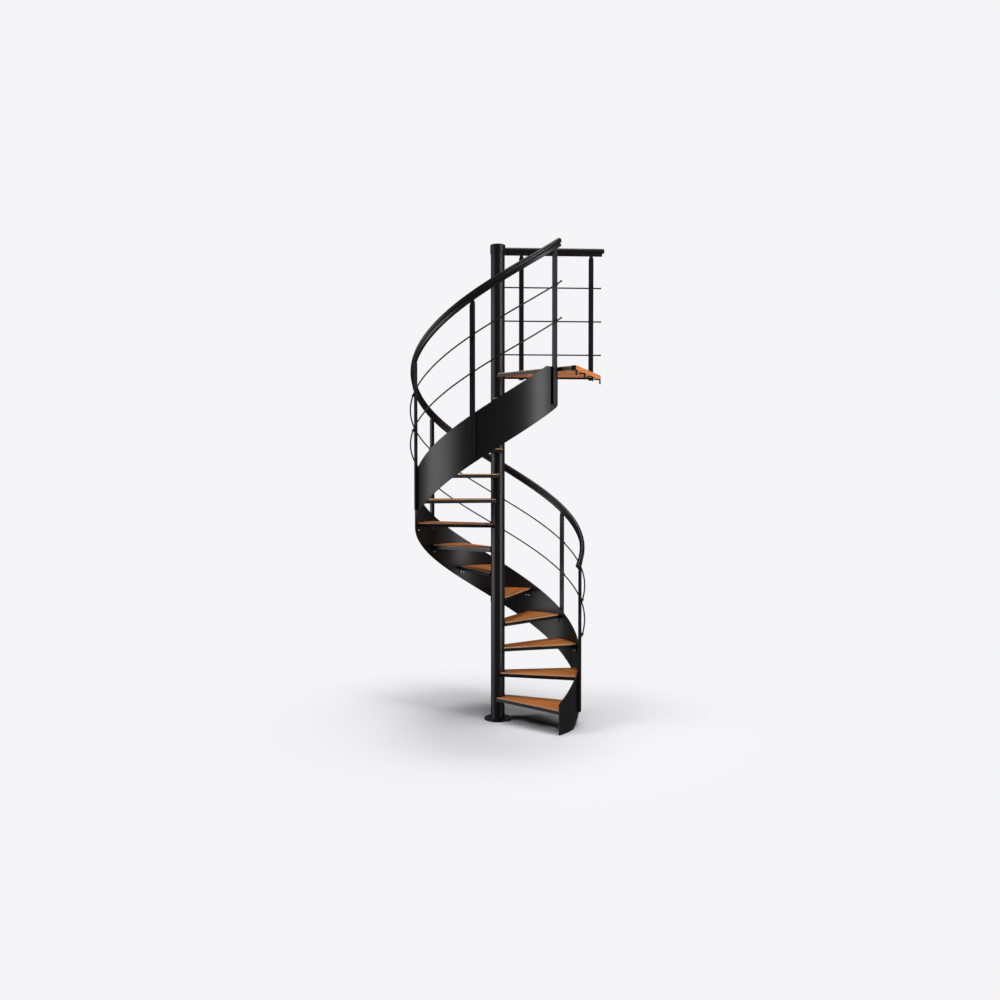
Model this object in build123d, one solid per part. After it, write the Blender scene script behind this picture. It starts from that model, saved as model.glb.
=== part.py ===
from build123d import *
import os
from math import asin, atan2, ceil, cos, degrees, floor, radians, sin, tan

# Spiral staircase, climbing counter-clockwise: wedge treads between a central column and a helical
# outer stringer, guard posts with rods and a handrail, and a wedge landing with its own railing.
# Millimetres, +Z up. The origin is the column's axis at floor level. Angles are degrees in plan,
# counter-clockwise from +X, and heights along the flight are measured from its nosing line.

# Flight
RISE = 210.0
FIRST_RISE = 200.0
STEP_ANGLE = 27.3
TREAD_COUNT = 13
TUBE_SIDES = 12  # flats that stand for the round of the handrail's tube
ROD_SIDES = 6  # flats that stand for the round of a rod and its clips
NOTCH_SIDES = 24  # flats, over the full round, of the notches that fit the column
FIRST_TREAD_ANGLE = -30.3  # centre line of the lowest tread

# Column
COLUMN_DIAMETER = 118.0
COLUMN_WALL = 4.0
BASE_DIAMETER = 230.0
BASE_THICKNESS = 12.0
ANCHOR_CIRCLE = 178.0
ANCHOR_HOLE = 14.0
ANCHOR_COUNT = 4
CAP_DIAMETER = 128.0
CAP_HEIGHT = 72.0
CAP_TOP = 6.0  # thickness over the column's head
COLUMN_TOP_ABOVE_LANDING = 1080.0

# Stringer
STRINGER_RADIUS = 700.0  # outer face
STRINGER_THICKNESS = 8.0
STRINGER_HEIGHT = 383.0
STRINGER_ABOVE_NOSINGS = 50.0
STRINGER_CORNER = 40.0
STRINGER_PAST_POST = 3.9  # degrees beyond the highest post

# Treads
TREAD_HALF_ANGLE = 9.8
TREAD_EDGE_OFFSET = 62.6  # distance of each long edge's line from the column's axis
TREAD_INNER_END = 22.0
TREAD_THICKNESS = 34.0
BOARD_THICKNESS = 20.0
BOARD_PROUD = 8.0
FRAME_BAR = 5.0
LEDGE_WIDTH = 22.0
LEDGE_START = 90.0
LEDGE_THICKNESS = 4.0
LUG_WIDTH = 50.0
LUG_DROP = 40.0
LUG_THICKNESS = 6.0
LUG_SETBACK = 0.5  # degrees from the nosing's corner

# Landing
LANDING_EDGE_PAST_POST = 3.17  # degrees from the highest post to its front edge, at the stringer
LANDING_HALF_ANGLE = 23.0
LANDING_PAST_STRINGER = 91.0
LANDING_NOSING = 42.0  # width of the beam along the exit edge
BRACKET_LEG = 45.0
BRACKET_DROP = 40.0
BRACKET_WIDTH = 40.0
BRACKET_THICKNESS = 5.0
BRACKET_COUNT = 4

# Posts
POST_WIDTH = 40.0
POST_DEPTH = 20.0
POST_STANDOFF = 3.0
SPACER_SIZE = 20.0
SPACER_FROM_FOOT = 40.0
SPACER_FROM_TOP = 60.0  # below the stringer's upper edge
POST_FOOT = 42.0  # above the stringer's lower edge
NECK_WIDTH = 24.0
SHOULDER_DROP = 28.0
LANDING_POST_DROP = 8.0  # foot below the landing's underside
LANDING_POST_NEAR = 205.0  # along the back edge from the column's axis
LANDING_POST_SETBACK = 84.5  # from the landing's far corner
POST_COUNT = 7
POST_STEPS = 1.9945  # steps between neighbouring posts, from the second nosing up
STATION_COUNT = 8  # sections from one post to the next, in whatever winds along the flight
STATION_CLEAR = 0.1  # of their spacing, between an end and the section nearest to it

# Handrail: a round tube on a flat bar
RAIL_ABOVE_NOSINGS = 949.0  # middle of the rail's height
TUBE_DIAMETER = 42.0
BAR_WIDTH = 22.0
BAR_HEIGHT = 26.0
RAIL_HEIGHT = 65.0
RAIL_PAST_POST = 5.2
LANDING_RAIL = 1047.0  # middle of the rail's height above the landing
LANDING_RAIL_PAST_POST = 116.0
RAIL_TUBE_LEAD = 22.0  # tube beyond the bar at the handrails' free ends
RAIL_TAB_SETBACK = 30.0  # tab that holds the landing's rail to the column's cap, from the column's axis

# Rods
ROD_DIAMETER = 12.0
ROD_OFFSET = 12.5  # rod axis from the posts' outer face
ROD_HEIGHTS = (358.0, 643.0)
LANDING_ROD_HEIGHTS = (177.0, 463.0, 748.0)
ROD_PAST_POST = 4.5
LANDING_ROD_PAST_POST = 92.0
CLIP_DIAMETER = 20.0
CLIP_WALL = 3.0  # beyond the rod

GAP = 0.3  # between a curved face and its seat
SPARE = 20.0  # by which a shape is drawn larger where another cuts it to size

column_radius = COLUMN_DIAMETER / 2
landing_top = FIRST_RISE + TREAD_COUNT * RISE
tread_outer_radius = STRINGER_RADIUS - STRINGER_THICKNESS - GAP
pitch_height = RISE * 360 / STEP_ANGLE
nosing_spread = TREAD_HALF_ANGLE + degrees(asin(TREAD_EDGE_OFFSET / tread_outer_radius))
first_nosing = FIRST_TREAD_ANGLE - nosing_spread
post_middle = POST_STANDOFF + POST_DEPTH / 2  # from the face that the post is bolted to
post_radius = STRINGER_RADIUS + post_middle
post_outer = post_radius + POST_DEPTH / 2
rod_radius = post_outer + ROD_OFFSET
post_angles = [first_nosing + STEP_ANGLE * (1 + POST_STEPS * n) for n in range(POST_COUNT)]
station_angle = STEP_ANGLE * POST_STEPS / STATION_COUNT
stringer_end = post_angles[-1] + STRINGER_PAST_POST
landing_edge_turn = degrees(asin(TREAD_EDGE_OFFSET / STRINGER_RADIUS))
landing_angle = post_angles[-1] + LANDING_EDGE_PAST_POST + landing_edge_turn + LANDING_HALF_ANGLE
landing_reach = STRINGER_RADIUS + LANDING_PAST_STRINGER
landing_board_end = landing_reach - LANDING_NOSING
column_top = landing_top + COLUMN_TOP_ABOVE_LANDING
bar_drop = RAIL_HEIGHT / 2  # bar's lower face below the rail's middle
tube_rise = RAIL_HEIGHT / 2 - TUBE_DIAMETER / 2
facing_out = Plane(origin=(0, 0, 0), x_dir=(0, 1, 0), z_dir=(1, 0, 0))  # a drawing's x across, its y up
rod_section = RegularPolygon(ROD_DIAMETER / 2, ROD_SIDES)
clip_bore = ROD_DIAMETER / 2 + GAP / cos(radians(180 / ROD_SIDES))


def nosing_line(angle):
    """Height of the line through the nosings at a plan angle."""
    return FIRST_RISE + RISE * (angle - first_nosing) / STEP_ANGLE


def slope_at(radius):
    """Angle of climb at a radius."""
    return degrees(atan2(pitch_height, radians(360) * radius))


def stations(start, end):
    """Plan angles from start to end that include every station of the flight between them."""
    first = ceil((start - post_angles[0]) / station_angle + STATION_CLEAR)
    last = floor((end - post_angles[0]) / station_angle - STATION_CLEAR)
    return [start, *(post_angles[0] + station_angle * n for n in range(first, last + 1)), end]


def helical(profile, radius, height, start, end, square_to_path=True):
    """Wind a profile, drawn as (outwards, upwards), along a helix at a height above the nosing line."""
    slope = radians(slope_at(radius)) if square_to_path else 0
    plane = Plane(origin=(radius, 0, height), x_dir=(1, 0, 0), z_dir=(0, -cos(slope), -sin(slope)))
    section = plane * profile
    sections = [Pos(0, 0, nosing_line(a)) * Rot(0, 0, a) * section for a in stations(start, end)]
    return loft(sections, ruled=True)


def half_width(half_angle, distance, inset=0.0):
    """Half the width of a wedge at a distance from the column's axis along its centre line."""
    return (TREAD_EDGE_OFFSET - inset) / cos(radians(half_angle)) + distance * tan(radians(half_angle))


def wedge(half_angle, inner, outer, inset=0.0):
    """Wedge along +X: straight edges at the half angle, square at both ends."""
    near, far = half_width(half_angle, inner, inset), half_width(half_angle, outer, inset)
    return make_face(Polyline((inner, -near), (outer, -far), (outer, far), (inner, near), close=True))


def notch(inset):
    """Plan of the hollow round the column, with its flats just clear of the tube."""
    return RegularPolygon(column_radius + GAP + inset, NOTCH_SIDES, major_radius=False)


def tread_outline(inset=0.0):
    """Plan of a tread: a wedge hollowed round the column and rounded to the stringer."""
    outline = wedge(TREAD_HALF_ANGLE, TREAD_INNER_END + inset, tread_outer_radius, inset=inset)
    outline &= Circle(tread_outer_radius - inset)
    return outline - notch(inset)


def landing_outline(inset, reach):
    """Plan of the landing up to a reach: a wide wedge hollowed round the column."""
    return wedge(LANDING_HALF_ANGLE, TREAD_INNER_END + inset, reach, inset=inset) - notch(inset)


def open_frame(ring, half_angle, reach):
    """Edge bar on a ring's plan, with ledges along its sides for a board, under a surface at zero."""
    frame = Pos(0, 0, -TREAD_THICKNESS) * extrude(ring, TREAD_THICKNESS - BOARD_PROUD)
    ledges = wedge(half_angle, LEDGE_START, reach, FRAME_BAR / 2)
    ledges -= wedge(half_angle, 0, reach + SPARE, LEDGE_WIDTH)
    return frame + Pos(0, 0, -BOARD_THICKNESS - LEDGE_THICKNESS) * extrude(ledges, LEDGE_THICKNESS)


def board(outline):
    """Board that drops inside an edge bar and stands proud of it, with its top at zero."""
    return Pos(0, 0, -BOARD_THICKNESS) * extrude(outline, BOARD_THICKNESS)


def tread_frame():
    """Steel frame of one tread, along +X with its walking surface at zero."""
    reach = tread_outer_radius * cos(radians(nosing_spread)) - FRAME_BAR / 2
    frame = open_frame(tread_outline() - tread_outline(FRAME_BAR), TREAD_HALF_ANGLE, reach)
    half_lug = degrees(asin(LUG_WIDTH / 2 / tread_outer_radius))
    face = tread_outer_radius * cos(radians(half_lug))
    lug = Box(LUG_THICKNESS, LUG_WIDTH, LUG_DROP + FRAME_BAR, align=(Align.MAX, Align.CENTER, Align.MIN))
    lug = Pos(face, 0, -TREAD_THICKNESS - LUG_DROP) * lug
    return frame + Rot(0, 0, half_lug + LUG_SETBACK - nosing_spread) * lug


def stringer():
    """Rolled plate that winds round the treads, from the floor to the landing's level."""
    middle = STRINGER_ABOVE_NOSINGS - STRINGER_HEIGHT / 2
    band_section = Rectangle(STRINGER_THICKNESS + 2 * SPARE, STRINGER_HEIGHT)
    band = helical(band_section, STRINGER_RADIUS, middle, first_nosing, stringer_end, square_to_path=False)
    shell = extrude(Circle(STRINGER_RADIUS) - Circle(STRINGER_RADIUS - STRINGER_THICKNESS), landing_top)
    landing = Pos(0, 0, -TREAD_THICKNESS - GAP) * extrude(landing_outline(-GAP, landing_reach), RISE)
    return (shell & band) - place_landing(landing) - Rot(0, 0, stringer_end) * corner_cutter()


def corner_cutter():
    """What is cut away to round the lower corner at the stringer's high end."""
    low = nosing_line(stringer_end) + STRINGER_ABOVE_NOSINGS - STRINGER_HEIGHT
    slope = slope_at(STRINGER_RADIUS)
    setback = STRINGER_CORNER / tan(radians(90 + slope) / 2)
    along = (-setback * cos(radians(slope)), low - setback * sin(radians(slope)))
    points = [
        along, (along[0], along[1] - SPARE), (SPARE, low - SPARE),
        (SPARE, low + setback), (0, low + setback),
    ]
    corner = make_face(Polyline(*points, close=True))
    corner -= Pos(GAP - STRINGER_CORNER, low + setback - GAP) * Circle(STRINGER_CORNER)  # just past tangent
    return extrude(facing_out * corner, 2 * STRINGER_RADIUS)


def upright(foot, head, slope, spacer_heights):
    """Flat post, outwards along +X, with shoulders up to a neck that meets the rail's slope."""
    rise = tan(radians(slope))
    half, neck = POST_WIDTH / 2, NECK_WIDTH / 2
    shoulder = head - SHOULDER_DROP
    points = [
        (-half, foot), (half, foot),
        (half, shoulder + half * rise), (neck, head + neck * rise),
        (-neck, head - neck * rise), (-half, shoulder - half * rise),
    ]
    side = make_face(Polyline(*points, close=True))
    spacer = Pos(-(POST_DEPTH + POST_STANDOFF) / 2, 0, 0) * Box(POST_STANDOFF, SPACER_SIZE, SPACER_SIZE)
    post = Pos(-POST_DEPTH / 2, 0, 0) * extrude(facing_out * side, POST_DEPTH)
    return post + [Pos(0, 0, z) * spacer for z in spacer_heights]


def flight_post(angle):
    """Post on the stringer's outer face, from near its lower edge up to the handrail's bar."""
    line, slope = nosing_line(angle), slope_at(post_radius)
    foot = line + STRINGER_ABOVE_NOSINGS - STRINGER_HEIGHT + POST_FOOT
    head = line + RAIL_ABOVE_NOSINGS - (bar_drop + GAP) / cos(radians(slope))
    spacers = [foot + SPACER_FROM_FOOT, line + STRINGER_ABOVE_NOSINGS - SPACER_FROM_TOP]
    return Rot(0, 0, angle) * Pos(post_radius, 0, 0) * upright(foot, head, slope, spacers)


def tube_profile():
    """Section of the handrail's round tube."""
    return Pos(0, tube_rise) * RegularPolygon(TUBE_DIAMETER / 2, TUBE_SIDES, rotation=180 / TUBE_SIDES)


def rail_profile():
    """Section of the handrail: the round tube standing on its narrower flat bar."""
    return tube_profile() + Pos(0, BAR_HEIGHT / 2 - bar_drop) * Rectangle(BAR_WIDTH, BAR_HEIGHT)


def handrail():
    """Rail over the flight's posts: its tube runs on past the bar at both ends."""
    start, end = post_angles[0] - RAIL_PAST_POST, post_angles[-1] + RAIL_PAST_POST
    lead = degrees(RAIL_TUBE_LEAD * cos(radians(slope_at(post_radius))) / post_radius)
    rail = helical(rail_profile(), post_radius, RAIL_ABOVE_NOSINGS, start + lead, end - lead)
    for first, last in [(start, start + lead), (end - lead, end)]:
        rail += helical(tube_profile(), post_radius, RAIL_ABOVE_NOSINGS, first, last)
    return rail


def clip(bore_radius, slope):
    """Boss outwards along +X from a post's face, with a bore for a rod that climbs at a slope."""
    length = ROD_OFFSET + ROD_DIAMETER / 2 + CLIP_WALL
    boss = Rot(0, 90, 0) * extrude(RegularPolygon(CLIP_DIAMETER / 2, ROD_SIDES), length)
    bore = extrude(RegularPolygon(bore_radius, ROD_SIDES), CLIP_DIAMETER, both=True)
    return boss - Pos(ROD_OFFSET, 0, 0) * Rot(90 + slope, 0, 0) * bore


def base_plate():
    """Round foot under the column, with anchor holes outside it."""
    plate = Pos(0, 0, BASE_THICKNESS / 2) * Cylinder(BASE_DIAMETER / 2, BASE_THICKNESS)
    hole = Pos(0, 0, BASE_THICKNESS / 2) * Cylinder(ANCHOR_HOLE / 2, 2 * BASE_THICKNESS)
    turns = [360 * (n + 0.5) / ANCHOR_COUNT for n in range(ANCHOR_COUNT)]
    return plate - [Rot(0, 0, turn) * Pos(ANCHOR_CIRCLE / 2, 0, 0) * hole for turn in turns]


def column():
    """Tube that stands on the base plate and carries the cap."""
    ring = Circle(column_radius) - Circle(column_radius - COLUMN_WALL)
    return Pos(0, 0, BASE_THICKNESS) * extrude(ring, column_top - BASE_THICKNESS - CAP_TOP)


def column_cap():
    """Cap with a skirt that slips over the head of the column."""
    cap = Pos(0, 0, -CAP_HEIGHT / 2) * Cylinder(CAP_DIAMETER / 2, CAP_HEIGHT)
    cap -= Pos(0, 0, -CAP_TOP - CAP_HEIGHT / 2) * Cylinder(column_radius + GAP, CAP_HEIGHT)
    return Pos(0, 0, column_top) * cap


def spiral_rod(height):
    """Rod wound outside the posts, from the lowest to just past the highest."""
    start, end = post_angles[0] - ROD_PAST_POST / 2, post_angles[-1] + ROD_PAST_POST
    return helical(rod_section, rod_radius, height, start, end)


def flight_clips():
    """Clips of every post on the flight, bored wide enough for the bend of the rod inside them."""
    bend = CLIP_DIAMETER / 2 * sin(radians(station_angle / 2))
    one = Pos(post_outer, 0, 0) * clip(clip_bore + bend, slope_at(rod_radius))
    return [Pos(0, 0, nosing_line(a) + h) * Rot(0, 0, a) * one for a in post_angles for h in ROD_HEIGHTS]


def place_landing(shape):
    """Turn a shape drawn along +X to the landing's centre line, at its walking level."""
    return Pos(0, 0, landing_top) * Rot(0, 0, landing_angle) * shape


def landing_frame():
    """Steel frame of the landing, open towards the beam along the exit edge."""
    ring = landing_outline(0, landing_board_end) - landing_outline(FRAME_BAR, landing_board_end)
    return place_landing(open_frame(ring, LANDING_HALF_ANGLE, landing_board_end))


def landing_boards():
    """Floor of the landing, inside its frame."""
    return place_landing(board(landing_outline(FRAME_BAR + GAP, landing_board_end - GAP)))


def landing_nosing():
    """Wooden beam along the exit edge, as deep as the frame and its boards."""
    beam = extrude(wedge(LANDING_HALF_ANGLE, landing_board_end, landing_reach), TREAD_THICKNESS)
    return place_landing(Pos(0, 0, -TREAD_THICKNESS) * beam)


def landing_brackets():
    """Angles under the exit edge that fasten the landing to the upper floor."""
    span = 2 * half_width(LANDING_HALF_ANGLE, landing_reach) - BRACKET_WIDTH
    flat = Box(BRACKET_LEG, BRACKET_WIDTH, BRACKET_THICKNESS, align=(Align.MAX, Align.CENTER, Align.MAX))
    drop = Box(BRACKET_THICKNESS, BRACKET_WIDTH, BRACKET_DROP, align=(Align.MAX, Align.CENTER, Align.MAX))
    angle = Pos(landing_reach, 0, -TREAD_THICKNESS) * (flat + drop)
    places = [span * (n / (BRACKET_COUNT - 1) - 0.5) for n in range(BRACKET_COUNT)]
    return [place_landing(Pos(0, y, 0) * angle) for y in places]


def along_back_edge(shape):
    """Move a shape whose x runs along the back edge, at walking level, and whose -y faces the landing."""
    turn = landing_angle + LANDING_HALF_ANGLE
    return Pos(0, 0, landing_top) * Rot(0, 0, turn) * Pos(0, TREAD_EDGE_OFFSET, 0) * shape


def landing_posts():
    """Distances of the landing's posts along its back edge from the column's axis."""
    half = radians(LANDING_HALF_ANGLE)
    corner = landing_reach * cos(half) + half_width(LANDING_HALF_ANGLE, landing_reach) * sin(half)
    return [LANDING_POST_NEAR, corner - LANDING_POST_SETBACK]


def landing_post(distance):
    """Post on the outer face of the landing's back edge."""
    foot = -TREAD_THICKNESS - LANDING_POST_DROP
    spacer = -(TREAD_THICKNESS + BOARD_PROUD) / 2
    post = Rot(0, 0, 90) * upright(foot, LANDING_RAIL - bar_drop - GAP, 0, [spacer])
    return along_back_edge(Pos(distance, post_middle, 0) * post)


def landing_handrail():
    """Level handrail from the column's cap, where a tab holds it, to beyond the landing."""
    end = landing_posts()[-1] + LANDING_RAIL_PAST_POST
    rail = extrude(facing_out * rail_profile(), end - RAIL_TUBE_LEAD)
    rail += extrude(facing_out * tube_profile(), end)
    reach = TREAD_EDGE_OFFSET + post_middle
    tab = Box(BAR_WIDTH, reach, BAR_HEIGHT, align=(Align.CENTER, Align.MAX, Align.MIN))
    rail += Pos(RAIL_TAB_SETBACK, 0, -bar_drop) * tab
    rail = along_back_edge(Pos(0, post_middle, LANDING_RAIL) * rail)
    return rail - Cylinder(CAP_DIAMETER / 2 + GAP, 2 * (column_top + SPARE))


def landing_rod(height):
    """Level rod from beside the column to beyond the landing."""
    rod = extrude(facing_out * rod_section, landing_posts()[-1] + LANDING_ROD_PAST_POST)
    return along_back_edge(Pos(0, POST_STANDOFF + POST_DEPTH + ROD_OFFSET, height) * rod)


def landing_clips():
    """Clips of the landing's posts."""
    one = Pos(0, POST_STANDOFF + POST_DEPTH, 0) * Rot(0, 0, 90) * clip(clip_bore, 0)
    return [along_back_edge(Pos(x, 0, z) * one) for x in landing_posts() for z in LANDING_ROD_HEIGHTS]


def build():
    """Every piece under its own name."""
    pieces = {"base_plate": base_plate(), "column": column(), "column_cap": column_cap()}
    pieces["stringer"] = stringer()
    frame, tread_board = tread_frame(), board(tread_outline(FRAME_BAR + GAP))
    for step in range(TREAD_COUNT):
        place = Pos(0, 0, FIRST_RISE + step * RISE) * Rot(0, 0, FIRST_TREAD_ANGLE + step * STEP_ANGLE)
        pieces[f"tread_frame_{step + 1:02d}"] = place * frame
        pieces[f"tread_board_{step + 1:02d}"] = place * tread_board
    for number, angle in enumerate(post_angles, start=1):
        pieces[f"post_{number}"] = flight_post(angle)
    pieces["handrail"] = handrail()
    pieces["lower_rod"] = spiral_rod(ROD_HEIGHTS[0])
    pieces["upper_rod"] = spiral_rod(ROD_HEIGHTS[1])
    pieces["rod_clips"] = Compound(flight_clips())
    pieces["landing_frame"] = landing_frame()
    pieces["landing_boards"] = landing_boards()
    pieces["landing_nosing"] = landing_nosing()
    pieces["landing_brackets"] = Compound(landing_brackets())
    for number, distance in enumerate(landing_posts(), start=1):
        pieces[f"landing_post_{number}"] = landing_post(distance)
    pieces["landing_handrail"] = landing_handrail()
    pieces["landing_rods"] = Compound([landing_rod(h) for h in LANDING_ROD_HEIGHTS])
    pieces["landing_rod_clips"] = Compound(landing_clips())
    return pieces


if __name__ == "__main__":
    os.makedirs("parts", exist_ok=True)
    for name, piece in build().items():
        export_step(piece, f"parts/{name}.step")
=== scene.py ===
from math import atan2, ceil, cos, degrees, pi, radians, sin, sqrt, tan

import bmesh
import bpy
from mathutils import Matrix, Vector


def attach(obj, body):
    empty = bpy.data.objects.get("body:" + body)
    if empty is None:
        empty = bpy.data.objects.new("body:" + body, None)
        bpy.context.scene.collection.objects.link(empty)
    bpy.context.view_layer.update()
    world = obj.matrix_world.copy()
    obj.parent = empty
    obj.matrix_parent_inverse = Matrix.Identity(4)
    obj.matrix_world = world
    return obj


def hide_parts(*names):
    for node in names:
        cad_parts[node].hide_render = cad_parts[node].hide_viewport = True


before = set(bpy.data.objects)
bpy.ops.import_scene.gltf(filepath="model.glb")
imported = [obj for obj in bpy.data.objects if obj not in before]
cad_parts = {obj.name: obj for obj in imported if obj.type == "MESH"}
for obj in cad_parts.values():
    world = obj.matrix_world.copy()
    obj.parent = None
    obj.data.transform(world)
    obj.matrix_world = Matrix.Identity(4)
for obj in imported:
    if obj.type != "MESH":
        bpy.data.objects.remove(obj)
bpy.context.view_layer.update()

# --- Base plate -----------------------------------------------------------------------------------
# A round foot cut from 12 mm steel plate and drilled for four floor anchors. It is welded under the
# column, and both are powder coated satin black after welding.

MM = 0.001
PLATE_TOP = 12.0
PLATE_EASE = 2.0  # radius ground along the plate's rims
PEEL = 6.0  # spacing of the coat's orange peel, as drawn
DRIFT = 200.0  # spacing of its glossier and duller patches
SAME_PLACE = 0.02  # modelled corners closer than this are one
STILL_FLAT = 0.3  # degrees: modelled faces that bend less are one
CUT_EDGE = 30.0  # degrees: edges that bend more are eased
CREASE = 40.0  # degrees: edges that bend more stay crisp


def linear(code):
    """An sRGB hex colour as linear red, green, blue and alpha."""
    channels = [int(code[i:i + 2], 16) / 255 for i in (1, 3, 5)]
    return [c / 12.92 if c <= 0.04045 else ((c + 0.055) / 1.055) ** 2.4 for c in channels] + [1]


def node(tree, kind, settings=None, links=None):
    """Add a node: settings are its properties and input values, links are sockets for its inputs."""
    new = tree.nodes.new(kind)
    for name, value in (settings or {}).items():
        if isinstance(name, str) and hasattr(new, name):
            setattr(new, name, value)
        else:
            new.inputs[name].default_value = value
    for name, socket in (links or {}).items():
        tree.links.new(socket, new.inputs[name])
    return new


def new_material(name):
    """An empty node material and its tree."""
    material = bpy.data.materials.new(name)
    material.use_nodes = True
    material.node_tree.nodes.clear()
    return material, material.node_tree


# Polyester powder coat, baked on: a deep black satin skin that mirrors lamps as soft bands. Its faint
# orange peel is 1 to 2 mm on the real coat and is drawn at 6 mm to show. Gloss drifts over a panel.
powder_coat, tree = new_material("satin_black_powder_coat")
place = node(tree, "ShaderNodeTexCoord")
peel = node(tree, "ShaderNodeTexNoise", {"Scale": 1 / (PEEL * MM), "Detail": 1.0},
            {"Vector": place.outputs["Object"]})
drift = node(tree, "ShaderNodeTexNoise", {"Scale": 1 / (DRIFT * MM), "Detail": 3.0},
             {"Vector": place.outputs["Object"]})
gloss = node(tree, "ShaderNodeMapRange", {"To Min": 0.36, "To Max": 0.44},
             {"Value": drift.outputs["Fac"]})
bump = node(tree, "ShaderNodeBump", {"Strength": 0.1, "Distance": 0.02 * MM},
            {"Height": peel.outputs["Fac"]})
shader = node(tree, "ShaderNodeBsdfPrincipled", {"Base Color": linear("#0e0d0e"), "IOR": 1.45},
              {"Roughness": gloss.outputs["Result"], "Normal": bump.outputs["Normal"]})
node(tree, "ShaderNodeOutputMaterial", None, {"Surface": shader.outputs["BSDF"]})


def fit(mesh, slot, *nodes):
    """Fix a finished mesh to the stair as a piece of its name, in the place of its modelled nodes."""
    piece = bpy.data.objects.new(mesh.name, mesh)
    bpy.context.scene.collection.objects.link(piece)
    piece.modifiers.new("flat_faces", "WEIGHTED_NORMAL").keep_sharp = True
    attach(piece, "root")
    if nodes:
        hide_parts(*nodes)


def finished(build, name, *materials):
    """The mesh of a built form, smooth except over its creases."""
    bmesh.ops.recalc_face_normals(build, faces=build.faces)
    mesh = bpy.data.meshes.new(name)
    build.to_mesh(mesh)
    build.free()
    for material in materials:
        mesh.materials.append(material)
    mesh.shade_smooth()
    mesh.set_sharp_from_angle(angle=radians(CREASE))
    return mesh


def eased(name, ease, steps=2):
    """The form of a modelled piece, with its cut edges rounded to a radius in millimetres."""
    build = bmesh.new()
    build.from_mesh(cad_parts[name].data)
    bmesh.ops.remove_doubles(build, verts=build.verts, dist=SAME_PLACE * MM)
    bmesh.ops.dissolve_limit(build, angle_limit=radians(STILL_FLAT),
                             verts=build.verts, edges=build.edges)
    corners = [e for e in build.edges if e.is_manifold and e.calc_face_angle() > radians(CUT_EDGE)]
    bmesh.ops.bevel(build, geom=corners, offset=ease * MM, offset_type="OFFSET", segments=steps,
                    profile=0.5, affect="EDGES", clamp_overlap=True)
    return build


plate = eased("base_plate", PLATE_EASE, steps=3)
fit(finished(plate, "base_plate_ground", powder_coat), "steel", "base_plate")

# --- Column ---------------------------------------------------------------------------------------
# A round steel tube that stands on the base plate inside one run of weld, and carries every tread.
# A turned steel cap slips over its head and takes the end of the landing's handrail.

COLUMN_RADIUS = 59.0
COLUMN_HEAD = 4010.0
CAP_RADIUS = 64.0
CAP_DEPTH = 72.0
CAP_EASE = 5.0  # radius turned round the cap's top
CAP_CHAMFER = 1.5  # round the mouth of its skirt
WELD_LEG = 5.0
WELD_ROOT = 1.0  # how far the weld goes into the tube


def skin(loops):
    """A form skinned over loops of equal length in millimetres, and flat at both ends."""
    build = bmesh.new()
    rings = [[build.verts.new(Vector(p) * MM) for p in loop] for loop in loops]
    count = len(rings[0])
    for low, high in zip(rings, rings[1:]):
        for i in range(count):
            j = (i + 1) % count
            build.faces.new((low[i], low[j], high[j], high[i]))
    build.faces.new(list(reversed(rings[0])))
    build.faces.new(rings[-1])
    return build


def turned(outline, around=96):
    """Loops round the column's axis through an outline of radius and height."""
    steps = [2 * pi * n / around for n in range(around)]
    return [[(r * cos(a), r * sin(a), z) for a in steps] for r, z in outline]


def quarter(centre_r, centre_z, radius, first, last, steps=4):
    """Points of an outline's rounded corner, between two angles in degrees."""
    angles = [radians(first + (last - first) * n / steps) for n in range(steps + 1)]
    return [(centre_r + radius * cos(a), centre_z + radius * sin(a)) for a in angles]


tube = skin(turned([(COLUMN_RADIUS, PLATE_TOP), (COLUMN_RADIUS, COLUMN_HEAD - CAP_DEPTH / 2)]))
fit(finished(tube, "column_tube", powder_coat), "steel", "column")

skirt = COLUMN_HEAD - CAP_DEPTH
cap = [(COLUMN_RADIUS, skirt), (CAP_RADIUS - CAP_CHAMFER, skirt), (CAP_RADIUS, skirt + CAP_CHAMFER)]
cap += quarter(CAP_RADIUS - CAP_EASE, COLUMN_HEAD - CAP_EASE, CAP_EASE, 0, 90)
fit(finished(skin(turned(cap)), "column_head_cap", powder_coat), "steel", "column_cap")

weld = [(COLUMN_RADIUS - WELD_ROOT, PLATE_TOP)] + quarter(COLUMN_RADIUS, PLATE_TOP, WELD_LEG, 0, 90)
fit(finished(skin(turned(weld)), "column_foot_weld", powder_coat), "steel")

# --- Stringer -------------------------------------------------------------------------------------
# One 8 mm steel plate, laser cut to its developed shape and rolled to the helix. It starts square on
# the floor, and ends under the landing with a rounded lower corner. It is coated as the column is.

RISE = 210.0
FIRST_RISE = 200.0
STEP_ANGLE = 27.3
TREADS = 13
FIRST_NOSING = -45.296
LANDING_TOP = FIRST_RISE + TREADS * RISE
TREAD_DEPTH = 34.0
STRINGER_RADIUS = 700.0
STRINGER_PLATE = 8.0
STRINGER_ABOVE = 50.0  # upper edge over the nosings
STRINGER_HEIGHT = 383.0
STRINGER_CORNER = 40.0  # radius of the rounded lower corner at its end
STRINGER_EASE = 1.2
STRINGER_END = 312.6
NOTCH_START = 311.87  # where it drops under the landing's edge
NOTCH_GAP = 0.3  # between it and that edge
NOTCH_STEP = 0.01  # degrees on each side of the notch's upright
BEND_STEP = 1.5  # degrees between the sections of a form bent to the helix
EVEN_STOP = 4.0  # degrees before its end, where evenly spaced sections stop
CORNER_SPAN = 3.6  # degrees before its end, where closer sections start for the rounded corner
CORNER_STEPS = 24
CLIMB = RISE / radians(STEP_ANGLE)  # millimetres up for each radian of turn


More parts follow.
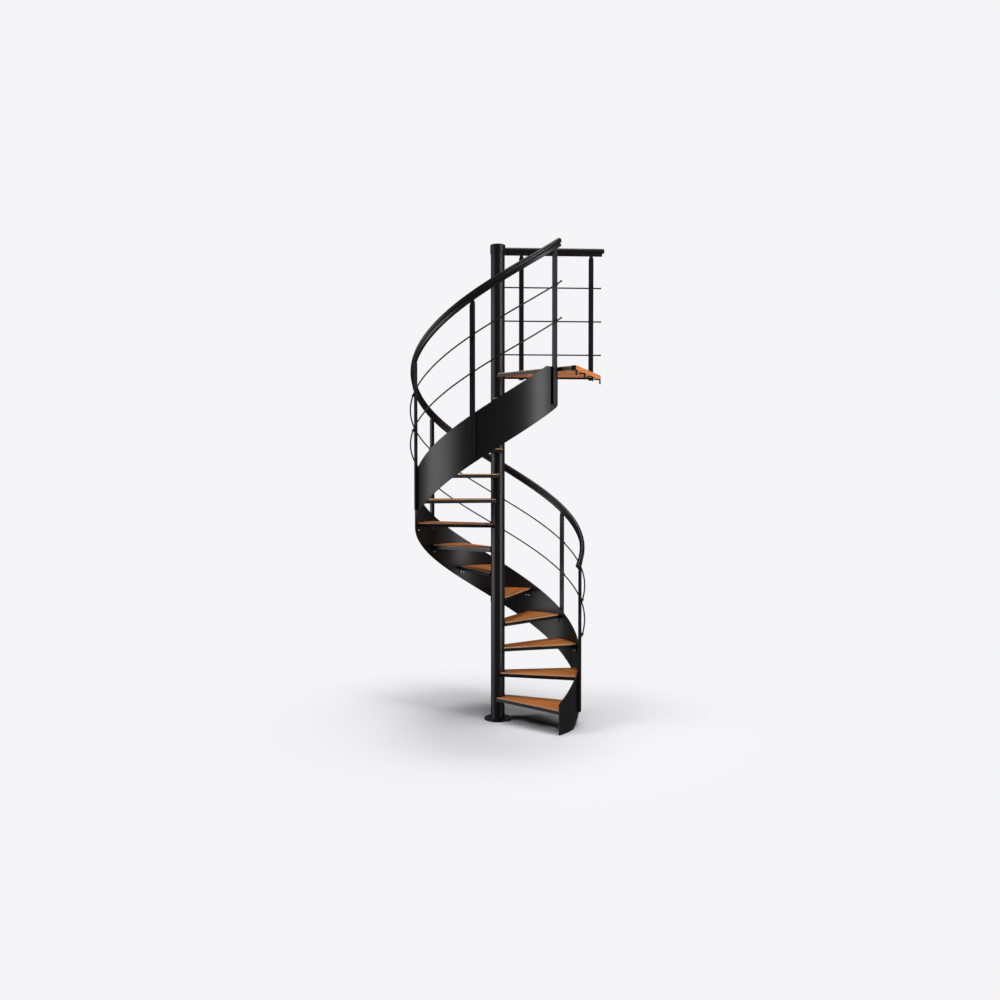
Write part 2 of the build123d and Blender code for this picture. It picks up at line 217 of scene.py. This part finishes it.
def nosing(angle):
    """Height of the line through the nosings at a plan angle in degrees."""
    return FIRST_RISE + RISE * (angle - FIRST_NOSING) / STEP_ANGLE


def plate_edges(angle):
    """Heights of the stringer's lower and upper edge at a plan angle."""
    slope = atan2(CLIMB, STRINGER_RADIUS)
    low = nosing(angle) + STRINGER_ABOVE - STRINGER_HEIGHT
    before_end = radians(STRINGER_END - angle) * STRINGER_RADIUS
    tangent = STRINGER_CORNER / tan((pi / 2 + slope) / 2)
    if before_end < tangent * cos(slope):
        centre = nosing(STRINGER_END) + STRINGER_ABOVE - STRINGER_HEIGHT + tangent
        low = centre - sqrt(STRINGER_CORNER ** 2 - (STRINGER_CORNER - before_end) ** 2)
    high = min(nosing(angle) + STRINGER_ABOVE, LANDING_TOP)
    if angle > NOTCH_START:
        high = LANDING_TOP - TREAD_DEPTH - NOTCH_GAP
    return max(low, 0), high


def plate_section(angle):
    """Section of the stringer at a plan angle, with its edges eased."""
    low, high = plate_edges(angle)
    out, inn, e = STRINGER_RADIUS, STRINGER_RADIUS - STRINGER_PLATE, STRINGER_EASE
    corners = [(inn + e, low), (out - e, low), (out, low + e), (out, high - e),
               (out - e, high), (inn + e, high), (inn, high - e), (inn, low + e)]
    return [(r * cos(radians(angle)), r * sin(radians(angle)), z) for r, z in corners]


on_floor = FIRST_NOSING + STEP_ANGLE * (STRINGER_HEIGHT - STRINGER_ABOVE - FIRST_RISE) / RISE
levels_off = FIRST_NOSING + STEP_ANGLE * (LANDING_TOP - STRINGER_ABOVE - FIRST_RISE) / RISE
even = int((STRINGER_END - EVEN_STOP - FIRST_NOSING) / BEND_STEP)
turns = [FIRST_NOSING + n * BEND_STEP for n in range(even + 1)]
turns += [STRINGER_END - CORNER_SPAN * (1 - n / CORNER_STEPS) ** 2 for n in range(CORNER_STEPS + 1)]
turns += [on_floor, levels_off, NOTCH_START - NOTCH_STEP, NOTCH_START + NOTCH_STEP]
rolled = skin([plate_section(a) for a in sorted(turns)])
fit(finished(rolled, "stringer_rolled", powder_coat), "steel", "stringer")

# --- Tread frames ---------------------------------------------------------------------------------
# Each tread is a frame of 5 mm flat bar, bent round the column's tube and welded to it, with ledges
# inside for the board. A lug under each outer corner is bolted through the stringer.

FIRST_TREAD = -30.3  # centre line of the lowest tread
BAR_EASE = 1.0
LUG_ANGLE = 12.42  # each lug's middle, from the tread's centre line
LUG_FACE = 685.25  # inner face of a lug, from the column's axis
LUG_THICKNESS = 6.0
LUG_WIDTH = 50.0
LUG_DROP = 74.0  # lower edge, below the walking surface
LUG_LAP = 1.0  # how far it is let into the bar above
LUG_CORNER = 3.0  # cut off its lower corners
BOLT_DROP = 62.0
BOLT_SPACING = 25.0
WASHER = 1.6  # thickness
WASHER_RADIUS = 9.0
NUT_RADIUS = 7.2
NUT_TOP = 6.5  # its flats end here
NUT_DOME = 5.0  # height of the dome over them
CLOUD = 3.0  # spacing of the zinc's cloudy patches
BEAD_HALF = 105  # degrees that a weld runs round the tube on each side of the tread
# A weld's section: distances out from the tube's face, and up from the bar's lower edge.
BEAD = [(-WELD_ROOT, 1), (-WELD_ROOT, -4), (0.2, -4), (2.6, -2.4), (4, 0.2), (4, 1)]


def knob(outline, place, axis, around=24):
    """Loops through an outline of radius and distance along an axis that starts at a place."""
    axis = Vector(axis).normalized()
    side = axis.orthogonal().normalized()
    other = axis.cross(side)
    steps = [2 * pi * n / around for n in range(around)]
    return [[Vector(place) + axis * d + (side * cos(a) + other * sin(a)) * r for a in steps]
            for r, d in outline]


def joined(builds, name, *materials):
    """One mesh of several forms."""
    whole = bmesh.new()
    for build in builds:
        bmesh.ops.recalc_face_normals(build, faces=build.faces)
        part = bpy.data.meshes.new("part")
        build.to_mesh(part)
        build.free()
        whole.from_mesh(part)
        bpy.data.meshes.remove(part)
    return finished(whole, name, *materials)


# Zinc-plated steel: bright and slightly bluish, a little rougher than polished metal.
zinc, tree = new_material("zinc_plated_steel")
place = node(tree, "ShaderNodeTexCoord")
cloud = node(tree, "ShaderNodeTexNoise", {"Scale": 1 / (CLOUD * MM)},
             {"Vector": place.outputs["Object"]})
gloss = node(tree, "ShaderNodeMapRange", {"To Min": 0.22, "To Max": 0.36},
             {"Value": cloud.outputs["Fac"]})
shader = node(tree, "ShaderNodeBsdfPrincipled", {"Base Color": linear("#c9ccd0"), "Metallic": 1.0},
              {"Roughness": gloss.outputs["Result"]})
node(tree, "ShaderNodeOutputMaterial", None, {"Surface": shader.outputs["BSDF"]})

for step in range(TREADS):
    name = f"tread_frame_{step + 1:02d}"
    fit(finished(eased(name, BAR_EASE), name + "_welded", powder_coat), "steel", name)

washer_outline = [(WASHER_RADIUS, 0), (WASHER_RADIUS, 0.75 * WASHER), (WASHER_RADIUS - 0.5, WASHER),
                  (NUT_RADIUS, WASHER)]
nut_outline = [(NUT_RADIUS, WASHER), (NUT_RADIUS, NUT_TOP)]
nut_outline += [(NUT_RADIUS * cos(radians(a)), NUT_TOP + NUT_DOME * sin(radians(a)))
                for a in (20, 40, 60, 78)]
half, low, high = LUG_WIDTH / 2, -LUG_DROP, LUG_LAP - TREAD_DEPTH
lug_outline = [(-half, high), (-half, low + LUG_CORNER), (-half + LUG_CORNER, low),
               (half - LUG_CORNER, low), (half, low + LUG_CORNER), (half, high)]

lugs, bolts = [], []
for step in range(TREADS):
    top = FIRST_RISE + RISE * step
    for side in (-1, 1):
        turn = radians(FIRST_TREAD + STEP_ANGLE * step + LUG_ANGLE * side)
        out, along = Vector((cos(turn), sin(turn), 0)), Vector((-sin(turn), cos(turn), 0))
        face = out * LUG_FACE + Vector((0, 0, top))
        for shift in (-BOLT_SPACING / 2, BOLT_SPACING / 2):
            spot = face + along * shift - Vector((0, 0, BOLT_DROP))
            bolts.append(skin(knob(washer_outline, spot, -out)))
            bolts.append(skin(knob(nut_outline, spot, -out, around=12)))
        if side > 0:  # the frames have the front lugs on them
            lugs.append(skin([[face + out * depth + along * x + Vector((0, 0, z))
                               for x, z in lug_outline] for depth in (0, LUG_THICKNESS)]))
fit(joined(lugs, "tread_back_lugs", powder_coat), "steel")
fit(joined(bolts, "tread_lug_bolts", zinc), "steel")

beads = []
arc = [radians(a) for a in range(-BEAD_HALF, BEAD_HALF + 1, 5)]
for step in range(TREADS):
    turn = radians(FIRST_TREAD + STEP_ANGLE * step)
    under = FIRST_RISE + RISE * step - TREAD_DEPTH
    section = [(COLUMN_RADIUS + out, under + up) for out, up in BEAD]
    beads.append(skin([[(r * cos(turn + a), r * sin(turn + a), z) for r, z in section] for a in arc]))
fit(joined(beads, "tread_frame_welds", powder_coat), "steel")

# --- Tread boards ---------------------------------------------------------------------------------
# Solid boards edge-glued from hardwood staves, cut to the frame and dropped inside it on its ledges,
# where they stand 8 mm proud. They are stained orange-brown under satin lacquer. Their edges carry a
# painted highlight, and their undersides are painted black as painted shade.

BOARD_EASE = 2.0
STAVE = 48.0  # width of a stave
GRAIN_LINES = 3.0  # spacing of the grain's lines across a stave; real pores are finer
RING_LINES = 14.0  # spacing of the wider growth bands
RING_SHARE = 0.55  # their part in the grain, the rest being the fine lines
ALONG = 0.06  # how fast the grain changes along a stave, against across it
STAVE_TONE = 0.16  # how far the staves differ in tone
STAVE_SHIFT = 4.0  # metres that their grain is moved apart
BLOTCHES = 90.0  # of sealer to a metre, 11 mm apart
LEVEL = 0.97  # upward part of a normal, over which a face is flat


def grained(mesh, angle, number):
    """Give a mesh its grain's directions: along, across and through the board, in metres."""
    turn = Matrix.Rotation(-radians(angle), 4, "Z")
    grain = mesh.attributes.new("grain", "FLOAT_VECTOR", "POINT")
    offset = Vector((number * 3.71, number * 1.37, 0))  # so far apart that no two boards are alike
    for vertex in mesh.vertices:
        grain.data[vertex.index].vector = turn @ vertex.co + offset


# Stained hardwood under satin lacquer: straight grain along each stave, the staves differ a little in
# tone, and the stain lies deeper in the pores. Seen along the grain it is a clear orange-brown.
hardwood, tree = new_material("lacquered_stained_hardwood")
grain = node(tree, "ShaderNodeAttribute", {"attribute_name": "grain"})
axes = node(tree, "ShaderNodeSeparateXYZ", None, {"Vector": grain.outputs["Vector"]})
stave = node(tree, "ShaderNodeMath", {"operation": "DIVIDE", 1: STAVE * MM}, {0: axes.outputs["Y"]})
stave = node(tree, "ShaderNodeMath", {"operation": "FLOOR"}, {0: stave.outputs["Value"]})
tone = node(tree, "ShaderNodeTexWhiteNoise", {"noise_dimensions": "1D"}, {"W": stave.outputs["Value"]})
shift = node(tree, "ShaderNodeVectorMath", {"operation": "SCALE", "Scale": STAVE_SHIFT},
             {0: tone.outputs["Color"]})
moved = node(tree, "ShaderNodeVectorMath", {"operation": "ADD"},
             {0: grain.outputs["Vector"], 1: shift.outputs["Vector"]})
stretched = node(tree, "ShaderNodeVectorMath", {"operation": "MULTIPLY", 1: (ALONG, 1, 1)},
                 {0: moved.outputs["Vector"]})
fibre = node(tree, "ShaderNodeTexNoise",
             {"Scale": 1 / (GRAIN_LINES * MM), "Detail": 3.0, "Roughness": 0.6},
             {"Vector": stretched.outputs["Vector"]})
ring = node(tree, "ShaderNodeTexNoise",
            {"Scale": 1 / (RING_LINES * MM), "Detail": 2.0, "Distortion": 0.6},
            {"Vector": stretched.outputs["Vector"]})
figure = node(tree, "ShaderNodeMix", {"data_type": "FLOAT", 0: RING_SHARE},
              {2: fibre.outputs["Fac"], 3: ring.outputs["Fac"]})
varied = node(tree, "ShaderNodeMath", {"operation": "MULTIPLY_ADD", 1: STAVE_TONE},
              {0: tone.outputs["Value"], 2: figure.outputs[0]})
colour = node(tree, "ShaderNodeValToRGB", None, {"Fac": varied.outputs["Value"]})
ramp = colour.color_ramp
ramp.elements[0].position, ramp.elements[0].color = 0.38, linear("#b3622e")
ramp.elements[1].position, ramp.elements[1].color = 0.78, linear("#ef9d58")
ramp.elements.new(0.58).color = linear("#d68241")
bump = node(tree, "ShaderNodeBump", {"Strength": 0.2, "Distance": 0.1 * MM},
            {"Height": fibre.outputs["Fac"]})
shader = node(tree, "ShaderNodeBsdfPrincipled", {"IOR": 1.45, "Roughness": 0.42},
              {"Base Color": colour.outputs["Color"], "Normal": bump.outputs["Normal"]})
node(tree, "ShaderNodeOutputMaterial", None, {"Surface": shader.outputs["BSDF"]})

# Painted highlight: the same wood, painted paler and yellower on the sawn and eased edges. It stands in
# for the lacquer catching the light along the arrises, and makes a pale line round every board.
painted_highlight_wood, tree = new_material("hardwood_edge_painted_highlight")
grain = node(tree, "ShaderNodeAttribute", {"attribute_name": "grain"})
streak = node(tree, "ShaderNodeTexNoise", {"Scale": 1 / (RING_LINES * MM), "Detail": 3.0},
              {"Vector": grain.outputs["Vector"]})
colour = node(tree, "ShaderNodeValToRGB", None, {"Fac": streak.outputs["Fac"]})
ramp = colour.color_ramp
ramp.elements[0].color, ramp.elements[1].color = linear("#c9915f"), linear("#e3b98f")
shader = node(tree, "ShaderNodeBsdfPrincipled", {"IOR": 1.45, "Roughness": 0.35},
              {"Base Color": colour.outputs["Color"]})
node(tree, "ShaderNodeOutputMaterial", None, {"Surface": shader.outputs["BSDF"]})

# Matt black that soaks in unevenly and hardly reflects. On the landing beam's cut ends it is the sealer
# on the end grain. On the tread boards' undersides it is painted shade, a black that stands in for the
# shade under each tread.
black_sealer_and_shade, tree = new_material("matt_black_sealer_and_painted_shade")
place = node(tree, "ShaderNodeTexCoord")
soak = node(tree, "ShaderNodeTexNoise", {"Scale": BLOTCHES, "Detail": 3.0},
            {"Vector": place.outputs["Object"]})
colour = node(tree, "ShaderNodeValToRGB", None, {"Fac": soak.outputs["Fac"]})
ramp = colour.color_ramp
ramp.elements[0].color, ramp.elements[1].color = linear("#0f0a08"), linear("#1f1713")
shader = node(tree, "ShaderNodeBsdfPrincipled", {"Roughness": 0.85, "IOR": 1.3},
              {"Base Color": colour.outputs["Color"]})
node(tree, "ShaderNodeOutputMaterial", None, {"Surface": shader.outputs["BSDF"]})


def dressed(build, name, under):
    """A board's mesh with a painted highlight on its edges, and its own material on the underside."""
    mesh = finished(build, name, hardwood, painted_highlight_wood, under)
    for face in mesh.polygons:
        face.material_index = 1 if abs(face.normal.z) < LEVEL else 2 if face.normal.z < 0 else 0
    return mesh


for step in range(TREADS):
    name = f"tread_board_{step + 1:02d}"
    # the undersides take the matt black as painted shade
    mesh = dressed(eased(name, BOARD_EASE), name + "_lacquered", under=black_sealer_and_shade)
    grained(mesh, FIRST_TREAD + STEP_ANGLE * step, step)
    fit(mesh, "wood", name)

# --- Landing --------------------------------------------------------------------------------------
# A wedge floor on a frame of the same flat bar, closed along the exit by a hardwood beam whose end
# grain is sealed black. Four angles screwed under the beam fasten the landing to the upper floor.

LANDING_ANGLE = 340.0  # the way off the landing, and along its boards
LANDING_HALF = 23.0  # from there to its back edge
UPRIGHT = 0.3  # upward part of a normal, under which a face stands
SIDEWAYS = 0.6  # part of a normal along the way off, under which a face is end grain

welded = eased("landing_frame", BAR_EASE)
fit(finished(welded, "landing_frame_welded", powder_coat), "steel", "landing_frame")

boards = dressed(eased("landing_boards", BOARD_EASE), "landing_boards_lacquered", under=hardwood)
grained(boards, LANDING_ANGLE, TREADS)
fit(boards, "wood", "landing_boards")

beam = finished(eased("landing_nosing", BOARD_EASE), "landing_beam", hardwood, black_sealer_and_shade)
grained(beam, LANDING_ANGLE + 90, TREADS + 1)
exit_way = Vector((cos(radians(LANDING_ANGLE)), sin(radians(LANDING_ANGLE)), 0))
for face in beam.polygons:
    if abs(face.normal.dot(exit_way)) < SIDEWAYS and abs(face.normal.z) < UPRIGHT:
        face.material_index = 1
fit(beam, "wood", "landing_nosing")

angles = eased("landing_brackets", BAR_EASE)
fit(finished(angles, "landing_angles", powder_coat), "steel", "landing_brackets")

# --- Posts ----------------------------------------------------------------------------------------
# Flat rectangular steel tubes, necked at the top under the rail. Each is held off the stringer, or
# off the landing's edge, by short spacers and two dome-headed bolts. Powder coated as the rest.

POST_COUNT = 7
POST_STEPS = 1.9945  # treads from one post to the next
POST_EASE = 1.5
POST_FACE = 723.0  # outer face, from the column's axis
BACK_EDGE = 62.6  # the landing's back edge line, from the column's axis
LANDING_POST_FACE = 23.0  # outer face of the landing's posts, from that line
LANDING_POSTS = (205.0, 801.4)  # distances along that line
LOW_BOLT = 82.0  # over the stringer's lower edge
HIGH_BOLT = 60.0  # under its upper edge
LANDING_BOLT = 21.0  # under the landing's top
HEAD_RADIUS = 7.0
HEAD_RIM = 1.0
HEAD_DOME = 3.0  # height of the dome over the rim

post_angles = [FIRST_NOSING + STEP_ANGLE * (1 + POST_STEPS * n) for n in range(POST_COUNT)]
names = [f"post_{n + 1}" for n in range(POST_COUNT)] + ["landing_post_1", "landing_post_2"]
for name in names:
    fit(finished(eased(name, POST_EASE), name + "_tube", powder_coat), "steel", name)

head_outline = [(HEAD_RADIUS, 0), (HEAD_RADIUS, HEAD_RIM)]
head_outline += [(HEAD_RADIUS * cos(radians(a)), HEAD_RIM + HEAD_DOME * sin(radians(a)))
                 for a in (25, 45, 65, 80)]
heads = []
for angle in post_angles:
    out = Vector((cos(radians(angle)), sin(radians(angle)), 0))
    edge = nosing(angle) + STRINGER_ABOVE
    for height in (edge - STRINGER_HEIGHT + LOW_BOLT, edge - HIGH_BOLT):
        heads.append(skin(knob(head_outline, out * POST_FACE + Vector((0, 0, height)), out)))
back = radians(LANDING_ANGLE + LANDING_HALF)
back_way, back_out = Vector((cos(back), sin(back), 0)), Vector((-sin(back), cos(back), 0))
for distance in LANDING_POSTS:
    spot = back_way * distance + back_out * (BACK_EDGE + LANDING_POST_FACE)
    heads.append(skin(knob(head_outline, spot + Vector((0, 0, LANDING_TOP - LANDING_BOLT)), back_out)))
fit(joined(heads, "post_bolt_heads", powder_coat), "steel")

# --- Rods and clips -------------------------------------------------------------------------------
# Round 12 mm rods that run outside the posts, each through a turned clip with a grub screw, and end
# in small ball tips. The flight's two are bent to the helix, the landing's three are straight.

ROD = 6.0  # radius
ROD_PATH = 735.0  # from the column's axis
ROD_HEIGHTS = (358.0, 643.0)  # over the nosings
ROD_PAST_POST = 4.5  # degrees past the highest post, and half of that before the lowest
LANDING_ROD_OUT = 98.1  # from the column's axis
LANDING_ROD_HEIGHTS = (177.0, 463.0, 748.0)  # over the landing
LANDING_ROD_START, LANDING_ROD_END = 0.5, 893.0
BALL = 8.0  # radius of the tips
CLIP = 10.0  # radius
CLIP_LENGTH = 21.5
CLIP_NOSE = 2.0  # turned off the rim of its outer end
SOCKET = 3.2  # radius of the grub screw's socket in that end
SOCKET_DEPTH = 2.5
DOME_START = 0.4  # a dome's first ring, in steps from its tip


def on_helix(radius, height, angle):
    """A place on a helix over the nosing line, and the ways out, up and on along it."""
    slope = atan2(CLIMB, radius)
    out = Vector((cos(radians(angle)), sin(radians(angle)), 0))
    level, up = Vector((-out.y, out.x, 0)), Vector((0, 0, 1))
    place = out * radius + up * (nosing(angle) + height)
    return place, out, up * cos(slope) - level * sin(slope), level * cos(slope) + up * sin(slope)


def on_back_edge(out, height, distance):
    """A place beside the landing's back edge, and the ways out, up and on along it."""
    place = back_way * distance + back_out * (BACK_EDGE + out) + Vector((0, 0, LANDING_TOP + height))
    return place, back_out, Vector((0, 0, 1)), back_way


def swept(stations, section, bulge=0.0, steps=5):
    """Loops of a section of points out and up, carried through stations and domed over both ends."""
    def loop(station, size, ahead):
        place, out, up, on = station
        return [place + on * ahead + out * x * size + up * y * size for x, y in section]
    rings = range(steps) if bulge else []
    dome = [radians(90 * (n + DOME_START) / (steps + DOME_START)) for n in rings]
    loops = [loop(stations[0], sin(a), -bulge * cos(a)) for a in dome]
    loops += [loop(station, 1, 0) for station in stations]
    return loops + [loop(stations[-1], sin(a), bulge * cos(a)) for a in reversed(dome)]


def ring(radius, around=16):
    """Points round a circle."""
    steps = [2 * pi * n / around for n in range(around)]
    return [(radius * cos(a), radius * sin(a)) for a in steps]


def spaced(start, end, step):
    """Evenly spaced values from start to end, no further apart than a step."""
    count = ceil(abs(end - start) / step)
    return [start + (end - start) * n / count for n in range(count + 1)]


for name, height in zip(("lower_rod", "upper_rod"), ROD_HEIGHTS):
    ball_turn = degrees(BALL / ROD_PATH)
    start = post_angles[0] - ROD_PAST_POST / 2 + ball_turn
    end = post_angles[-1] + ROD_PAST_POST - ball_turn
    stations = [on_helix(ROD_PATH, height, a) for a in spaced(start, end, BEND_STEP)]
    forms = [skin(swept(stations, ring(ROD)))]
    forms += [skin(swept([s], ring(BALL), bulge=BALL)) for s in (stations[0], stations[-1])]
    fit(joined(forms, name + "_bent", powder_coat), "rod_steel", name)

forms = []
for height in LANDING_ROD_HEIGHTS:
    run = (LANDING_ROD_START, LANDING_ROD_END - BALL)
    ends = [on_back_edge(LANDING_ROD_OUT - BACK_EDGE, height, x) for x in run]
    forms += [skin(swept(ends, ring(ROD))), skin(swept([ends[1]], ring(BALL), bulge=BALL))]
fit(joined(forms, "landing_rods_straight", powder_coat), "rod_steel", "landing_rods")

clip_outline = [(CLIP, 0), (CLIP, CLIP_LENGTH - CLIP_NOSE),
                (CLIP - 0.3 * CLIP_NOSE, CLIP_LENGTH - 0.4 * CLIP_NOSE),
                (CLIP - CLIP_NOSE, CLIP_LENGTH), (SOCKET + 0.4, CLIP_LENGTH),
                (SOCKET, CLIP_LENGTH - 0.5), (SOCKET, CLIP_LENGTH - SOCKET_DEPTH)]
places = [on_helix(POST_FACE, height, angle) for angle in post_angles for height in ROD_HEIGHTS]
clips = [skin(knob(clip_outline, place, out)) for place, out, up, on in places]
fit(joined(clips, "rod_clips_turned", powder_coat), "rod_steel", "rod_clips")

places = [on_back_edge(LANDING_POST_FACE, height, x)
          for x in LANDING_POSTS for height in LANDING_ROD_HEIGHTS]
clips = [skin(knob(clip_outline, place, out)) for place, out, up, on in places]
fit(joined(clips, "landing_clips_turned", powder_coat), "rod_steel", "landing_rod_clips")

# --- Handrails ------------------------------------------------------------------------------------
# A 42 mm steel tube with domed ends, on a shorter 22 by 26 mm bar that sits on the posts' necks. It is
# bent to the helix over the flight, and straight over the landing, where a tab ties it to the cap.

RAIL_PATH = 713.0  # from the column's axis
RAIL_HEIGHT = 949.0  # middle of tube and bar together, over the nosings
LANDING_RAIL_HEIGHT = 1047.0  # the same, over the landing
RAIL_PAST_POST = 5.2  # degrees
TUBE = 21.0  # radius
TUBE_UP = 11.5  # tube's centre over that middle
TUBE_AROUND = 32
TUBE_LEAD = 22.0  # how far the tube runs on past the bar
DOME = 13.0  # length of the tube's domed end
BAR_HALF = 11.0
BAR_LOW, BAR_HIGH = -32.5, -6.5  # from that middle
BAR_ROUND = 2.0
LANDING_RAIL_OUT = 13.0  # from the back edge line
LANDING_RAIL_END = 917.0
TAB_SETBACK = 30.0  # middle of the tab, along the rail from its start
TAB_REACH = 27.0  # from the rail's middle to inside the cap


def raised(station, distance):
    """A station moved up by a distance."""
    place, out, up, on = station
    return place + up * distance, out, up, on


round_tube = ring(TUBE, TUBE_AROUND)
bar = [(-BAR_HALF + BAR_ROUND, BAR_LOW), (BAR_HALF - BAR_ROUND, BAR_LOW),
       (BAR_HALF, BAR_LOW + BAR_ROUND), (BAR_HALF, BAR_HIGH),
       (-BAR_HALF, BAR_HIGH), (-BAR_HALF, BAR_LOW + BAR_ROUND)]
per_degree = sqrt(RAIL_PATH ** 2 + CLIMB ** 2) * radians(1)
start, end = post_angles[0] - RAIL_PAST_POST, post_angles[-1] + RAIL_PAST_POST
turns = spaced(start + DOME / per_degree, end - DOME / per_degree, BEND_STEP)
tube = [raised(on_helix(RAIL_PATH, RAIL_HEIGHT, a), TUBE_UP) for a in turns]
turns = spaced(start + TUBE_LEAD / per_degree, end - TUBE_LEAD / per_degree, BEND_STEP)
under = [on_helix(RAIL_PATH, RAIL_HEIGHT, a) for a in turns]
forms = [skin(swept(tube, round_tube, bulge=DOME)), skin(swept(under, bar))]
fit(joined(forms, "handrail_bent", powder_coat), "steel", "handrail")

tab = [(-TAB_REACH, BAR_LOW), (-TAB_REACH, BAR_HIGH), (0, BAR_HIGH), (0, BAR_LOW)]
runs = [(DOME, LANDING_RAIL_END - DOME), (TAB_SETBACK - BAR_HALF, LANDING_RAIL_END - TUBE_LEAD),
        (TAB_SETBACK - BAR_HALF, TAB_SETBACK + BAR_HALF)]
tube, under, tie = [[on_back_edge(LANDING_RAIL_OUT, LANDING_RAIL_HEIGHT, x) for x in run]
                    for run in runs]
forms = [skin(swept([raised(s, TUBE_UP) for s in tube], round_tube, bulge=DOME)),
         skin(swept(under, bar)), skin(swept(tie, tab))]
fit(joined(forms, "landing_handrail_straight", powder_coat), "steel", "landing_handrail")

# --- Floor, light and camera ----------------------------------------------------------------------
# A seamless pale floor in a pale room, under four soft overhead lights and a soft key on the left. The
# steel mirrors a wide panel on the left and a tall strip on the right as soft upright bands, and the
# room itself only faintly, so that it stays black.

BACKDROP = "#f5f4f7"
FLOOR_SIZE = 60.0  # metres
FADE_START, FADE_END = 0.9, 2.3  # metres from the column, over which the floor becomes the backdrop
MIRRORED_ROOM = 0.1  # strength of the room as steel and lacquer mirror it
SUN_REACH = 10.0
PANEL_REACH = 9.0
CAMERA_PLACE = (0.0187, -7.5775, 2.0953)
CAMERA_DIP = 1.719  # degrees below level
CAMERA_LENS = 32.2

# Pale matt paint, which takes on the backdrop's colour away from the stair. Mirrored rays pass through
# it to the room below, so that the steel and the lacquer mirror no bright floor.
studio, tree = new_material("pale_studio_floor")
place = node(tree, "ShaderNodeTexCoord")
distance = node(tree, "ShaderNodeVectorMath", {"operation": "LENGTH"}, {0: place.outputs["Object"]})
far = node(tree, "ShaderNodeMapRange",
           {"interpolation_type": "SMOOTHSTEP", "From Min": FADE_START, "From Max": FADE_END},
           {"Value": distance.outputs["Value"]})
path = node(tree, "ShaderNodeLightPath")
fade = node(tree, "ShaderNodeMath", {"operation": "MULTIPLY"},
            {0: far.outputs["Result"], 1: path.outputs["Is Camera Ray"]})
paint = node(tree, "ShaderNodeBsdfDiffuse", {"Color": linear("#f3f2f5")})
glow = node(tree, "ShaderNodeEmission", {"Color": linear(BACKDROP)})
clear = node(tree, "ShaderNodeBsdfTransparent")
pale = node(tree, "ShaderNodeMixShader", None,
            {0: fade.outputs["Value"], 1: paint.outputs["BSDF"], 2: glow.outputs["Emission"]})
mix = node(tree, "ShaderNodeMixShader", None,
           {0: path.outputs["Is Glossy Ray"], 1: pale.outputs["Shader"], 2: clear.outputs["BSDF"]})
node(tree, "ShaderNodeOutputMaterial", None, {"Surface": mix.outputs["Shader"]})
bpy.ops.mesh.primitive_plane_add(size=FLOOR_SIZE)
ground = bpy.context.object
ground.name = "studio_floor"
ground.data.materials.append(studio)

world = bpy.data.worlds.new("dim_studio")
bpy.context.scene.world = world
world.use_nodes = True
world.node_tree.nodes.clear()
tree = world.node_tree
path = node(tree, "ShaderNodeLightPath")
shiny = node(tree, "ShaderNodeMath", {"operation": "MAXIMUM"},
             {0: path.outputs["Is Glossy Ray"], 1: path.outputs["Is Transmission Ray"]})
level = node(tree, "ShaderNodeMath", {"operation": "MULTIPLY_ADD", 1: MIRRORED_ROOM},
             {0: shiny.outputs["Value"], 2: path.outputs["Is Camera Ray"]})
room = node(tree, "ShaderNodeBackground", {"Color": linear(BACKDROP)},
            {"Strength": level.outputs["Value"]})
node(tree, "ShaderNodeOutputWorld", None, {"Surface": room.outputs["Background"]})


def lamp(name, kind, settings, turn, tilt, reach, aim):
    """A lamp at a plan angle, an elevation and a reach in metres from a height on the column's axis."""
    light = bpy.data.lights.new(name, kind)
    for setting, value in settings.items():
        setattr(light, setting, value)
    obj = bpy.data.objects.new(name, light)
    bpy.context.scene.collection.objects.link(obj)
    away = Vector((cos(radians(tilt)) * cos(radians(turn)), cos(radians(tilt)) * sin(radians(turn)),
                   sin(radians(tilt))))
    obj.location = Vector((0, 0, aim)) + away * reach
    obj.rotation_euler = (-away).to_track_quat("-Z", "Y").to_euler()
    return obj


# Each sun's strength, softness in degrees, plan angle and elevation, and whether the steel mirrors it.
for name, strength, soft, turn, tilt, mirrored in (
        ("overhead_left", 0.34, 28, 207, 75, True),
        ("overhead_right", 0.71, 24, 300, 70, True),
        ("overhead_back", 0.70, 20, 80, 79, True),
        ("overhead_wide", 0.54, 44, 285, 85, False),
        ("left_key", 0.67, 20, 195, 44, False)):
    sun = lamp(name, "SUN", {"energy": strength, "angle": radians(soft)}, turn, tilt, SUN_REACH, aim=0)
    sun.visible_glossy = mirrored

# Each panel's radiance, width, height, plan angle and middle, and whether it lights as well as shows.
for name, radiance, width, tall, turn, middle, lights in (
        ("left_panel", 3.1, 7.4, 7.0, 187, 2.0, False),
        ("right_strip", 11.0, 1.9, 9.5, -33, 2.25, True)):
    shape = {"shape": "RECTANGLE", "size": width, "size_y": tall,
             "energy": radiance * pi * width * tall}
    lamp(name, "AREA", shape, turn, 0, PANEL_REACH, aim=middle).visible_diffuse = lights

camera = bpy.data.objects.new("camera", bpy.data.cameras.new("camera"))
bpy.context.scene.collection.objects.link(camera)
camera.location = CAMERA_PLACE
camera.rotation_euler = (radians(90 - CAMERA_DIP), 0, 0)
camera.data.lens = CAMERA_LENS
camera.data.sensor_width = 36.0
bpy.context.scene.camera = camera
bpy.context.scene.view_settings.view_transform = "Standard"
